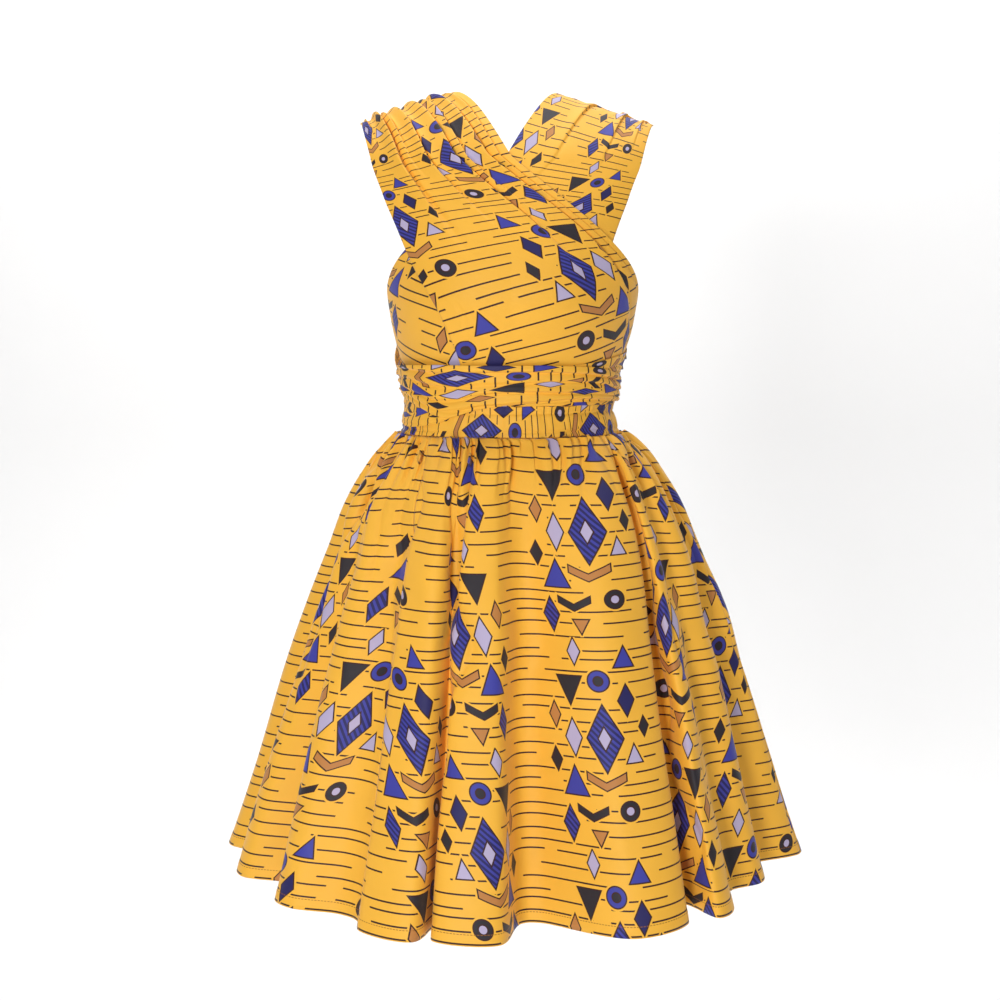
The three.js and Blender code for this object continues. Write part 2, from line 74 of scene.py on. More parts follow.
FRONT_PANEL_LEFT = table(
    STRAP,
    (18.2, 0, 65, 0, UNDER), (11, 40, 60, 45, UNDER), (0, 83, 54, 90, UNDER),
    (-19, 137, 50, 119, UNDER), (-44, 182, 47.5, 150, UNDER), (-66, 214, 46, 182, UNDER),
    (-82, 240, 43, 212, UNDER), (-92, 272, 30, 265, UNDER), (-98, 318, 20, 316, UNDER),
    (-100, 363.7, 18, 363.7, UNDER),
)
BACK_STRAP_RIGHT = table(
    STRAP,
    (201.6, 0, 251, 0, OVER), (197, 45, 243, 50, OVER), (189, 100, 232, 105, OVER),
    (176, 150, 217, 165, OVER), (158, 195, 200, 226, OVER), (138, 234, 176, 278, OVER),
    (118, 270, 147, 322, 4.6), (102, 293, 118, 350, SASH_UNDER), (90, 303, 90, 345, SASH_UNDER),
)
BACK_STRAP_LEFT = table(
    STRAP,
    (115, 0, 161.8, 0, UNDER), (119, 50, 165, 45, UNDER), (129, 105, 172, 100, UNDER),
    (144, 165, 184, 150, UNDER), (161, 226, 202, 195, UNDER), (184, 278, 222, 236, 1),
    (213, 322, 242, 276, 8), (242, 350, 258, 304, 8.4), (270, 352, 270, 319, SASH_OVER),
)
WRAP = "turn top foot"
SASH_UPPER_FRONT = table(
    WRAP,
    (-90, 319, 352), (-62, 316, 363), (-36, 315, 378), (-14, 315, 366), (12, 315, 360),
    (45, 318, 359), (68, 326, 360), (90, 334, 362),
)
SASH_LOWER_FRONT = table(
    WRAP,
    (-90, 353, 385), (-66, 350, 391), (-44, 342, 386), (-20, 330, 366), (14, 320, 357),
    (45, 314, 352), (68, 307, 347), (90, 303, 345),
)
SASH_UPPER_BACK = table(WRAP, (90, 334, 362), (118, 328, 363), (150, 326, 360), (167, 331, 356))
SASH_LOWER_BACK = table(WRAP, (193, 331, 358), (214, 332, 367), (244, 344, 378), (270, 353, 385))
FOLDS = table(
    "crest reach width valley depth gap",
    (-93, 329, 6, -80, 288, 5), (-71.5, 316, 5, -61, 278, 4), (-52, 307, 5, -38.5, 278, 5),
    (-26, 297, 12, -18.3, 236, 2.4), (-9.5, 281, 13, 5.5, 214, 5), (31, 299, 12, 44.5, 259, 2),
    (46, 314, 5, 57, 282, 3), (66, 303, 4, 75, 286, 3), (87, 335, 6, 97, 294, 5),
    (108, 320, 8, 119, 275, 5), (131, 306, 9, 142, 258, 4), (154, 300, 10, 166, 246, 3),
    (177, 295, 11, 190, 256, 5), (203, 304, 8, 213, 250, 3), (225, 314, 9, 236, 276, 5),
    (247, 322, 7, 257, 292, 4),
)


def smooth(xs, ys, at):
    """A smooth curve through a table's points that never swings past them."""
    slopes = np.diff(ys) / np.diff(xs)
    before, after = slopes[:-1], slopes[1:]
    same = before * after > 0
    inner = np.where(same, 2 * before * after / np.where(same, before + after, 1), 0)
    tangents = np.concatenate([slopes[:1], inner, slopes[-1:]])
    i = np.clip(np.searchsorted(xs, at, side="right") - 1, 0, len(xs) - 2)
    step = xs[i + 1] - xs[i]
    t = np.clip((at - xs[i]) / step, 0, 1)
    u = 1 - t
    return (
        ys[i] * (1 + 2 * t) * u * u + tangents[i] * step * t * u * u
        + ys[i + 1] * t * t * (3 - 2 * t) - tangents[i + 1] * step * t * t * u
    )


def unit(vectors):
    return vectors / np.maximum(np.linalg.norm(vectors, axis=-1, keepdims=True), 1e-12)


def figure_point(turn, level):
    """A place on the figure inside the dress."""
    sine, cosine = np.sin(np.radians(turn)), np.cos(np.radians(turn))
    swing = np.pi / 2 * np.clip(level / SHOULDER_ARC, -1, 1)
    ridge = RIDGE_HEIGHT - RIDGE_FALL * SHOULDER_HALF * np.abs(sine)
    above = level < SHOULDER_ARC
    z = np.where(above, SHOULDER_BASE + (ridge - SHOULDER_BASE) * np.cos(swing),
                 SHOULDER_BASE + SHOULDER_ARC - level)
    x = smooth(FIGURE["z"], FIGURE["half"], z) * sine
    front, back = (smooth(FIGURE["z"], FIGURE[side], z) for side in ("front", "back"))
    depth = np.where(cosine > 0, front, back)
    away = ((np.abs(x) - CUP_X) ** 2 + (z - CUP_Z) ** 2) / (2 * CUP_SPREAD ** 2)
    cup = np.where(cosine > 0, CUP_RISE * np.exp(-away) * cosine, 0)
    y = -depth * cosine * np.where(above, np.sin(swing), 1) - cup
    return np.stack([x, y, z], -1)


def lifted_point(turn, level, lift):
    """A place that stands off the figure by its lift."""
    step = 0.5
    turn, level, lift = np.broadcast_arrays(turn, level, lift)
    down = figure_point(turn, level + step) - figure_point(turn, np.maximum(level - step, 0))
    around = figure_point(turn + step, level) - figure_point(turn - step, level)
    return figure_point(turn, level) + unit(np.cross(down, around)) * lift[..., None]


# ---------------------------------------------------------------- small uneven shapes
def noise(x, y, seed, size=512):
    """Smooth value noise between -1 and 1, one cell to a unit, repeating after size cells of x."""
    values = np.random.default_rng(seed).uniform(-1, 1, (size, 64))
    x, y = np.broadcast_arrays(x, y)
    i, j = np.floor(x).astype(int), np.floor(y).astype(int)
    fx, fy = x - i, y - j
    fx, fy = fx * fx * (3 - 2 * fx), fy * fy * (3 - 2 * fy)
    i0, i1, j0, j1 = i % size, (i + 1) % size, j % 64, (j + 1) % 64
    low = values[i0, j0] * (1 - fx) + values[i1, j0] * fx
    high = values[i0, j1] * (1 - fx) + values[i1, j1] * fx
    return low * (1 - fy) + high * fy


def ramp(x, start, end):
    """Rises smoothly from 0 to 1 as x goes from start to end."""
    t = np.clip((x - start) / (end - start), 0, 1)
    return t * t * (3 - 2 * t)


def pleats(across, along, rows, grow, slide):
    """Laid pleats across a strip: their height in millimetres, and how far they lean over sideways.

    Each has a soft slope, a steep fall and a narrow groove beside it, and wanders and dies away along.
    """
    height, lean = np.zeros_like(across), np.zeros_like(across)
    for centre, rise, spread, ends in zip(*rows.values()):
        spread = spread * grow
        wander = 0.3 * spread * np.sin(7 * along + 30 * centre)
        offset = (np.mod(across - centre - wander + 0.5, 1) - 0.5) / spread
        body = np.exp(-np.where(offset > 0, offset * 3.5, offset) ** 2)
        groove = np.exp(-(((offset - 0.6) / 0.24) ** 2))
        fade = 1 - ramp(along, 0.15 * ends, ends)
        height += rise * fade * (body - 0.55 * groove)
        lean += slide * spread * fade * body
    return height, lean


# ---------------------------------------------------------------- meshes
def even_grid(rows, columns):
    """Shares from 0 to 1 down and across a piece."""
    return np.meshgrid(np.linspace(0, 1, rows + 1), np.linspace(0, 1, columns + 1), indexing="ij")


def grid_normals(grid):
    down, around = np.gradient(grid, axis=0), np.gradient(grid, axis=1)
    return unit(np.cross(down, around))


def cloth_mesh(name, grid, relief, uv, thickness=CLOTH):
    """A closed thin shell: the grid moved out by the relief, with the cloth's thickness inside it.

    The grid's rows go down the piece and its columns go round in growing turn. The metric map
    "Cloth" holds each point's place on the flat cloth, in metres.
    """
    rows, columns = grid.shape[:2]
    outer = grid + grid_normals(grid) * (relief + thickness)[..., None]
    inner = outer - grid_normals(outer) * thickness
    points = np.concatenate([outer.reshape(-1, 3), inner.reshape(-1, 3)]) * MM
    index = np.arange(rows * columns).reshape(rows, columns)
    a, b, c, d = index[:-1, :-1], index[1:, :-1], index[1:, 1:], index[:-1, 1:]
    far = rows * columns
    front = np.stack([a, b, c, d], -1).reshape(-1, 4)
    back = np.stack([a, d, c, b], -1).reshape(-1, 4) + far
    rim = []
    for edge in (index[0], index[-1][::-1], index[:, 0][::-1], index[:, -1]):
        rim.append(np.stack([edge[:-1], edge[1:], edge[1:] + far, edge[:-1] + far], -1))
    faces = np.concatenate([front, back, *rim])
    mesh = bpy.data.meshes.new(name)
    mesh.vertices.add(len(points))
    mesh.vertices.foreach_set("co", points.ravel())
    mesh.loops.add(faces.size)
    mesh.loops.foreach_set("vertex_index", faces.ravel())
    mesh.polygons.add(len(faces))
    mesh.polygons.foreach_set("loop_start", np.arange(0, faces.size, 4))
    mesh.update(calc_edges=True)
    mesh.polygons.foreach_set("use_smooth", np.ones(len(faces), bool))
    flat = np.concatenate([uv.reshape(-1, 2), uv.reshape(-1, 2)])
    layer = mesh.uv_layers.new(name="Cloth")
    layer.data.foreach_set("uv", flat[faces.ravel()].ravel())
    wrong = mesh.attributes.new("wrong_side", "FLOAT", "POINT")
    wrong.data.foreach_set("value", np.repeat([0.0, 1.0], far))
    mesh.validate()
    piece = bpy.data.objects.new(name, mesh)
    bpy.context.scene.collection.objects.link(piece)
    return piece


def finish_piece(piece, node, material):
    """Gives a piece its material and its place in the part."""
    piece.data.materials.append(material)
    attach(piece, "root")
    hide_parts(node)


# ---------------------------------------------------------------- materials
def srgb(red, green, blue):
    """A colour from its 0 to 255 values, for a material."""
    def channel(value):
        value /= 255
        return value / 12.92 if value <= 0.04045 else ((value + 0.055) / 1.055) ** 2.4
    return (channel(red), channel(green), channel(blue), 1)


YELLOW = srgb(248, 185, 60)
OUTLINE = srgb(58, 26, 24)
BLUE = srgb(62, 64, 160)
NAVY = srgb(38, 34, 92)
LILAC = srgb(186, 174, 206)
BLACK = srgb(42, 36, 42)
TAN = srgb(192, 128, 66)

ORIGIN = 30000.0  # keeps every place on the cloth above zero
SKIRT_LENGTH = 505.0


class Nodes:
    """Makes shader nodes with short calls; sockets and plain numbers mix freely."""

    def __init__(self, tree):
        self.tree = tree

    def new(self, kind, **settings):
        node = self.tree.nodes.new(kind)
        for name, value in settings.items():
            setattr(node, name, value)
        return node

    def feed(self, socket, value):
        if isinstance(value, bpy.types.NodeSocket):
            self.tree.links.new(value, socket)
        else:
            socket.default_value = value

    def math(self, operation, *values):
        node = self.new("ShaderNodeMath", operation=operation)
        for socket, value in zip(node.inputs, values):
            self.feed(socket, value)
        return node.outputs[0]

    def mix(self, factor, first, second):
        node = self.new("ShaderNodeMix", data_type="RGBA")
        self.feed(node.inputs["Factor"], factor)
        self.feed(node.inputs[6], first)
        self.feed(node.inputs[7], second)
        return node.outputs[2]


# The printed motifs, by place and half size in one cell of the repeat, in millimetres.
CELL_WIDTH, CELL_HEIGHT = 160.0, 214.0
MOTIFS = (
    ("diamond", -12, 4, 18, 33, "striped"), ("diamond", -12, 4, 6, 11, "lilac"),
    ("down", 22, 52, 14, 28, "black"), ("diamond", 22, 4, 9, 18, "lilac"),
    ("chevron", -10, -44, 20, 7, "tan"), ("up", 25, -40, 14, 28, "blue"),
    ("diamond", -36, 42, 8, 15, "navy"), ("up", -41, -12, 8, 17, "lilac"),
    ("diamond", 42, 26, 6, 12, "tan"), ("circle", -32, -68, 9, 9, "black"),
    ("circle", -32, -68, 4, 4, "lilac"), ("circle", -10, 62, 10, 10, "blue"),
    ("circle", -10, 62, 4, 4, "black"), ("diamond", 46, -20, 6, 11, "black"),
    ("chevron", 8, -76, 17, 6, "black"), ("down", 2, -96, 8, 14, "tan"),
    ("diamond", 36, -84, 9, 17, "striped"), ("up", -36, 86, 10, 20, "blue"),
    ("diamond", 14, 92, 7, 13, "lilac"), ("diamond", -54, 14, 5, 9, "black"),
)


def print_colour(n, u, v):
    """The generic wax-print design, from a place on the flat cloth in millimetres.

    Half-drop columns of diamonds, triangles, chevrons and rings on a ground of fine lines.
    """
    def cell(value, period, offset=0.0):
        place = n.math("ADD", n.math("DIVIDE", value, period), offset)
        inside = n.math("SUBTRACT", n.math("FRACT", place), 0.5)
        return n.math("FLOOR", place), n.math("MULTIPLY", inside, period)

    def lucky(value):
        node = n.new("ShaderNodeTexWhiteNoise", noise_dimensions="1D")
        n.feed(node.inputs["W"], value)
        return node.outputs[0]

    index, x = cell(u, CELL_WIDTH)
    odd = n.math("ABSOLUTE", n.math("MODULO", index, 2.0))
    x = n.math("MULTIPLY", x, n.math("SUBTRACT", 1.0, n.math("MULTIPLY", odd, 2.0)))
    _, y = cell(v, CELL_HEIGHT, n.math("MULTIPLY", odd, 0.5))

    def distance(kind, at_x, at_y, half_x, half_y):
        """Millimetres outside a motif, or inside it where negative."""
        dx, dy = n.math("SUBTRACT", x, at_x), n.math("SUBTRACT", y, at_y)
        side = n.math("DIVIDE", n.math("ABSOLUTE", dx), half_x)
        if kind == "circle":
            across = n.math("SQRT", n.math("ADD", n.math("MULTIPLY", dx, dx), n.math("MULTIPLY", dy, dy)))
            return n.math("SUBTRACT", across, half_x)
        if kind == "chevron":
            bend = n.math("SUBTRACT", dy, n.math("MULTIPLY", side, half_y * 1.4))
            bent = n.math("ADD", n.math("ABSOLUTE", bend), -0.5 * half_y)
            return n.math("MAXIMUM", bent, n.math("SUBTRACT", n.math("ABSOLUTE", dx), half_x))
        reach = half_x * half_y / math.hypot(half_x, half_y)
        if kind == "diamond":
            rise = n.math("DIVIDE", n.math("ABSOLUTE", dy), half_y)
            return n.math("MULTIPLY", n.math("SUBTRACT", n.math("ADD", side, rise), 1.0), reach)
        rise = n.math("DIVIDE", dy, half_y if kind == "up" else -half_y)
        slope = n.math("MULTIPLY", n.math("SUBTRACT", n.math("ADD", side, rise), 0.5), reach)
        return n.math("MAXIMUM", slope, n.math("MULTIPLY", n.math("ADD", rise, 0.5), -half_y))

    distances = [distance(*motif[:5]) for motif in MOTIFS]
    nearest = distances[0]
    for other in distances[1:]:
        nearest = n.math("MINIMUM", nearest, other)
    line, off = cell(v, 12.4)
    luck, more_luck = lucky(line), lucky(n.math("ADD", line, 0.5))
    off = n.math("ADD", off, n.math("MULTIPLY", n.math("SUBTRACT", luck, 0.5), 5.0))
    _, along = cell(u, 137.0, n.math("MULTIPLY", more_luck, 3.0))
    gap = n.math("ADD", n.math("MULTIPLY", luck, 16.0), 5.0)
    drawn = n.math("MULTIPLY", n.math("LESS_THAN", n.math("ABSOLUTE", off), 0.85),
                   n.math("GREATER_THAN", n.math("ABSOLUTE", along), gap))
    colour = n.mix(n.math("MULTIPLY", drawn, n.math("GREATER_THAN", nearest, 3.5)), YELLOW, OUTLINE)
    stripes = n.math("GREATER_THAN", n.math("FRACT", n.math("DIVIDE", n.math("ADD", u, v), 7.0)), 0.5)
    inks = {"striped": n.mix(stripes, BLUE, NAVY), "blue": BLUE, "navy": NAVY, "lilac": LILAC,
            "black": BLACK, "tan": TAN}
    for away, motif in zip(distances, MOTIFS):
        colour = n.mix(n.math("LESS_THAN", away, 1.5), colour, OUTLINE)
        colour = n.mix(n.math("LESS_THAN", away, 0.0), colour, inks[motif[5]])
    return colour


def cloth_material(name, tilt=0.0, shift=(0.0, 0.0), stitch=None):
    """Printed cotton; the map's metres are turned, shifted and read in millimetres of cloth."""
    material = bpy.data.materials.new(name)
    material.use_nodes = True
    tree = material.node_tree
    tree.nodes.clear()
    n = Nodes(tree)
    place = n.new("ShaderNodeUVMap", uv_map="Cloth")
    turned = n.new("ShaderNodeMapping", vector_type="POINT")
    turned.inputs["Location"].default_value = (shift[0] + ORIGIN, shift[1] + ORIGIN, 0)
    turned.inputs["Rotation"].default_value = (0, 0, tilt)
    turned.inputs["Scale"].default_value = (1000, 1000, 1000)
    tree.links.new(place.outputs[0], turned.inputs[0])
    split = n.new("ShaderNodeSeparateXYZ")
    tree.links.new(turned.outputs[0], split.inputs[0])
    u, v = split.outputs[0], split.outputs[1]
    colour = print_colour(n, u, v)
    if stitch is not None:
        off_line = n.math("ABSOLUTE", n.math("SUBTRACT", v, stitch + shift[1] + ORIGIN))
        sewn = n.math("LESS_THAN", off_line, 0.45)
        dash = n.math("LESS_THAN", n.math("FRACT", n.math("DIVIDE", u, 3.4)), 0.72)
        colour = n.mix(n.math("MULTIPLY", n.math("MULTIPLY", sewn, dash), 0.7), colour, srgb(150, 92, 30))

    blotch = n.new("ShaderNodeTexNoise")
    blotch.inputs["Scale"].default_value = 0.02
    blotch.inputs["Detail"].default_value = 3
    tree.links.new(turned.outputs[0], blotch.inputs["Vector"])
    shade = n.new("ShaderNodeHueSaturation")
    n.feed(shade.inputs["Value"], n.math("ADD", n.math("MULTIPLY", blotch.outputs[0], 0.12), 0.94))
    n.feed(shade.inputs["Color"], colour)
    wrong = n.new("ShaderNodeAttribute", attribute_name="wrong_side")
    paler = n.mix(n.math("MULTIPLY", wrong.outputs["Fac"], 0.16), shade.outputs[0], srgb(250, 226, 180))

    warp = n.math("SINE", n.math("MULTIPLY", u, 2 * math.pi / 0.45))
    weft = n.math("SINE", n.math("MULTIPLY", v, 2 * math.pi / 0.5))
    slub = n.new("ShaderNodeTexNoise")
    slub.inputs["Scale"].default_value = 0.16
    slub.inputs["Detail"].default_value = 4
    tree.links.new(turned.outputs[0], slub.inputs["Vector"])
    weave = n.math("ADD", n.math("MULTIPLY", n.math("MULTIPLY", warp, weft), 0.05),
                   n.math("MULTIPLY", slub.outputs[0], 0.9))
    bump = n.new("ShaderNodeBump")
    bump.inputs["Strength"].default_value = 0.35
    bump.inputs["Distance"].default_value = 0.0006
    n.feed(bump.inputs["Height"], weave)
    shader = n.new("ShaderNodeBsdfPrincipled")
    n.feed(shader.inputs["Base Color"], paler)
    n.feed(shader.inputs["Roughness"], n.math("ADD", n.math("MULTIPLY", slub.outputs[0], 0.14), 0.52))
    shader.inputs["Sheen Weight"].default_value = 0.12
    shader.inputs["Sheen Roughness"].default_value = 0.45
    shader.inputs["Specular IOR Level"].default_value = 0.35
    n.feed(shader.inputs["Normal"], bump.outputs[0])
    output = n.new("ShaderNodeOutputMaterial")
    tree.links.new(shader.outputs[0], output.inputs[0])
    return material


BODICE = cloth_material("bodice_print")
WAIST = cloth_material("waist_print", tilt=math.pi / 2, shift=(40.0, 15.0))
SKIRT = cloth_material("skirt_print", shift=(12.0, 60.0), stitch=11.0 - SKIRT_LENGTH)

# ---------------------------------------------------------------- the straps
STRAP_WIDTH = 0.24  # flat width of each strap, in metres


def lengths_down(grid):
    """How much cloth lies above each place in a grid, in millimetres."""
    steps = np.linalg.norm(np.diff(grid, axis=0), axis=-1)
    return np.concatenate([np.zeros((1, grid.shape[1])), np.cumsum(steps, axis=0)])


def strap_piece(name, rows, row_count, column_count, shape, node,
                slant=(0, 0), flip=False, aside=0.0):
    """One stretch of a strap; shape gives its relief and how far its pleats lean over."""
    along, across = even_grid(row_count, column_count)
    place = np.arange(len(rows["lift"]), dtype=float)
    at = along * place[-1]

    def value(key):
        return smooth(place, rows[key], at)

    height, lean = shape(across, along)
    set_across = across + lean * np.sin(np.pi * across) ** 0.5
    turn = value("low_turn") + (value("high_turn") - value("low_turn")) * set_across
    level = value("low_level") + (value("high_level") - value("low_level")) * set_across
    grid = lifted_point(turn, np.maximum(level, SHOULDER_GAP), value("lift") + CLOTH_REST)
    down = lengths_down(grid).mean(axis=1, keepdims=True)
    share = 1 - across if flip else across
    leaning = smooth(np.linspace(0, 1, len(slant)), np.array(slant, float), along)
    uv = np.stack([share * STRAP_WIDTH + aside, aside - (down + share * leaning) * MM], -1)
    piece = cloth_mesh(name, grid, height, uv)
    finish_piece(piece, node, BODICE)


PLEAT = "across rise spread ends"
RIGHT_PLEATS = table(
    PLEAT,
    (0.24, 7.0, 0.06, 0.7), (0.35, 3.6, 0.035, 0.34), (0.45, 5.6, 0.05, 0.56), (0.62, 6.2, 0.055, 0.74),
    (0.73, 3.8, 0.035, 0.5), (0.82, 6.0, 0.055, 0.98), (0.1, 3.0, 0.035, 0.2), (0.93, 3.0, 0.03, 0.85),
)
LEFT_PLEATS = table(PLEAT, (0.3, 2.4, 0.05, 0.34), (0.62, 3.0, 0.045, 0.28), (0.84, 2.6, 0.04, 0.22))
BACK_PLEATS = table(PLEAT, (0.18, 2.4, 0.06, 3.0), (0.44, 3.0, 0.07, 2.2), (0.74, 2.6, 0.06, 4.0))


def front_right_shape(across, along):
    """The top strap: long pleats from the shoulder, a dart at the bust and soft pulls."""
    height, lean = pleats(across, along, RIGHT_PLEATS, 0.75 + 0.9 * along, 0.75)
    gathers = noise(across * 26, along * 5, 11) * 1.1 * np.exp(-along / 0.07)
    dart_across = 0.09 - 0.04 * ramp(along, 0.745, 0.9)
    dart = -1.1 * np.exp(-(((across - dart_across) / 0.008) ** 2)) * ramp(along, 0.735, 0.76)
    pulls = 1.2 * noise(across * 5 + along * 3, along * 4, 12) * np.sin(np.pi * along)
    return height + gathers + dart + pulls + 0.6, lean


def front_left_shape(across, along):
    """The under strap, pulled flatter."""
    height, lean = pleats(across, along, LEFT_PLEATS, 0.75 + 0.9 * along, 0.5)
    gathers = noise(across * 22, along * 4, 21) * 0.9 * np.exp(-along / 0.06)
    return height + gathers + 0.4 * noise(across * 4, along * 3, 22), lean


def back_shape(seed):
    """The straps across the back, narrower and more gathered."""
    def shape(across, along):
        drift = 0.05 * noise(along * 4, 0 * across, seed)
        height, lean = pleats(across + drift, along, BACK_PLEATS, 1.0, 0.4)
        gathers = noise(across * 16, along * 6, seed + 1) * 0.7 * np.exp(-along / 0.1)
        return height + gathers + 0.4, lean * 0.6
    return shape


SLANT = (0, 12, 34, 72, 104, 108, 98, 82, 66, 56)  # how far the print lines lean across a front strap
strap_piece("front_left_cloth", FRONT_PANEL_LEFT, 200, 110, front_left_shape,
            "front_panel_left", SLANT, flip=True, aside=0.083)
strap_piece("front_right_cloth", FRONT_PANEL_RIGHT, 200, 150, front_right_shape,
            "front_panel_right", SLANT)
strap_piece("back_left_cloth", BACK_STRAP_LEFT, 170, 60, back_shape(31),
            "back_strap_left", aside=0.31)
strap_piece("back_right_cloth", BACK_STRAP_RIGHT, 170, 60, back_shape(41),
            "back_strap_right", aside=0.17)


# ---------------------------------------------------------------- the sash and the waistband
def wrap_piece(name, rows, lift, row_count, column_count, relief, node):
    """One stretch of a strap where it goes round the waist."""
    first, last = rows["turn"][0], rows["turn"][-1]
    down, around = even_grid(row_count, column_count)
    turn = first + (last - first) * around
    top, foot = smooth(rows["turn"], rows["top"], turn), smooth(rows["turn"], rows["foot"], turn)
    grid = lifted_point(turn, top + (foot - top) * down, lift + CLOTH_REST)
    uv = np.stack([turn / 90 * 0.165, down * 0.11], -1)
    piece = cloth_mesh(name, grid, relief(down, turn), uv)
    finish_piece(piece, node, WAIST)


def sash_relief(seed, folds, rise, edge):
    """Lengthwise folds that wander up and down the sash, and edges that roll in."""
    def relief(down, turn):
        height = np.zeros_like(down)
        calm = 0.45 + 0.55 * np.abs(np.cos(np.radians(turn)))
        for k in range(folds):
            centre = (k + 0.5) / folds + 0.22 / folds * noise(turn / 38, k * 7.3, seed) + 0.0009 * turn
            offset = (down - centre) / (0.42 / folds)
            body = np.exp(-np.where(offset > 0, offset * 2.6, offset) ** 2)
            groove = np.exp(-(((offset - 0.75) / 0.3) ** 2))
            height += rise * (body - 0.6 * groove) * (0.75 + 0.4 * noise(turn / 25, k * 3.1, seed + 1))
        roll = edge * (np.exp(-down / 0.05) + np.exp(-(1 - down) / 0.05))
        return height * calm - roll
    return relief


wrap_piece("sash_lower_front_cloth", SASH_LOWER_FRONT, SASH_UNDER, 60, 190, sash_relief(51, 4, 1.3, 0.5),
           "sash_lower_front")
wrap_piece("sash_upper_front_cloth", SASH_UPPER_FRONT, SASH_OVER, 60, 190, sash_relief(61, 4, 3.0, 1.0),
           "sash_upper_front")
wrap_piece("sash_lower_back_cloth", SASH_LOWER_BACK, SASH_UNDER, 40, 90, sash_relief(71, 4, 1.0, 0.5),
           "sash_lower_back")
wrap_piece("sash_upper_back_cloth", SASH_UPPER_BACK, SASH_OVER, 40, 90, sash_relief(81, 4, 1.7, 0.8),
           "sash_upper_back")


def waistband(name, node, first, last):
    """Half of the shirred band, with its frilled top edge and two sewn rows."""
    down, around = even_grid(40, 420)
    turn = first + (last - first) * around
    frill = ramp(down, 0.14, 0)
    level = BAND_TOP + (BAND_FOOT - BAND_TOP) * down + frill * 1.2 * noise(turn / 3.2, 0 * turn, 91)
    grid = lifted_point(turn, level, 0.3 + 0.9 * frill)
    gathers = noise(turn / 2.4, down * 2, 92) * 0.6 + noise(turn / 5, down * 1.5, 93) * 0.6
    rows_sewn = np.exp(-(((down - 0.25) / 0.045) ** 2)) + np.exp(-(((down - 0.84) / 0.045) ** 2))
    puff = 0.9 * np.sin(np.pi * np.clip((down - 0.25) / 0.59, 0, 1))
    relief = 1.1 + gathers * (1 - 0.6 * rows_sewn) + puff - 0.9 * rows_sewn
    uv = np.stack([turn / 90 * 0.3, down * 0.036], -1)
    piece = cloth_mesh(name, grid, relief, uv)
    finish_piece(piece, node, WAIST)


waistband("waistband_front_cloth", "waistband_front", -90 + 0.07, 90 - 0.07)
waistband("waistband_back_cloth", "waistband_back", 90 + 0.07, 270 - 0.07)


# ---------------------------------------------------------------- the skirt
def spline(points):
    """A closed centripetal curve through the points, finely cut."""
    steps = 240
    pieces = []
    count = len(points)
    for i in range(count):
        p0, p1, p2, p3 = (points[(i + k) % count] for k in (-1, 0, 1, 2))
        t0 = 0.0
        t1 = t0 + math.sqrt(np.linalg.norm(p1 - p0))
        t2 = t1 + math.sqrt(np.linalg.norm(p2 - p1))
        t3 = t2 + math.sqrt(np.linalg.norm(p3 - p2))
        t = np.linspace(t1, t2, steps, endpoint=False)[:, None]
        a1 = (t1 - t) / (t1 - t0) * p0 + (t - t0) / (t1 - t0) * p1
        a2 = (t2 - t) / (t2 - t1) * p1 + (t - t1) / (t2 - t1) * p2
        a3 = (t3 - t) / (t3 - t2) * p2 + (t - t2) / (t3 - t2) * p3
        b1 = (t2 - t) / (t2 - t0) * a1 + (t - t0) / (t2 - t0) * a2
        b2 = (t3 - t) / (t3 - t1) * a2 + (t - t1) / (t3 - t1) * a3
        pieces.append((t2 - t) / (t2 - t1) * b1 + (t - t1) / (t2 - t1) * b2)
    return np.concatenate(pieces), steps


def hem_line():
    """The hem's folds: its curve, the lengths along it, and the shares and turns of its marks."""
    points, turns = [], []
    for crest, reach, width, valley, depth, gap in zip(*FOLDS.values()):
        for turn, out in ((crest - width / 2, reach), (crest + width / 2, reach),
                          (valley - gap / 2, depth), (valley + gap / 2, depth)):
            angle = math.radians(turn)
            points.append(np.array([out * math.sin(angle), -out * math.cos(angle)]))
            turns.append(turn)
    curve, steps = spline(points)
    closed = np.concatenate([curve, curve[:1]])
    lengths = np.concatenate([[0], np.cumsum(np.linalg.norm(np.diff(closed, axis=0), axis=1))])
    marks = [(lengths[int((i + 0.5) * steps)] / lengths[-1], (turns[i] + turns[i + 1]) / 2)
             for i in range(0, len(points), 2)]
    marks.append((marks[0][0] + 1, marks[0][1] + 360))
    shares, at_turns = (np.array(values) for values in zip(*marks))
    return closed, lengths, shares, at_turns


HEM, HEM_LENGTHS, MARK_SHARES, MARK_TURNS = hem_line()
HEM_LENGTH = HEM_LENGTHS[-1]


def share_at_turn(turn):
    """The share of the hem's cloth that lies before a turn."""
    start = MARK_TURNS[0]
    return smooth(MARK_TURNS, MARK_SHARES, start + np.mod(turn - start, 360))


def turn_at_share(share):
    start = MARK_SHARES[0]
    return smooth(MARK_SHARES, MARK_TURNS, start + np.mod(share - start, 1))


def flare_at(drop, turn):
    """How much of its flare the skirt has at a share of its length."""
    puff = SKIRT_PUFF * (1 + PUFF_LEAN * np.sin(np.radians(turn)))
    return drop + puff * (1 - np.exp(-drop / PUFF_DEPTH)) * (1 - drop)


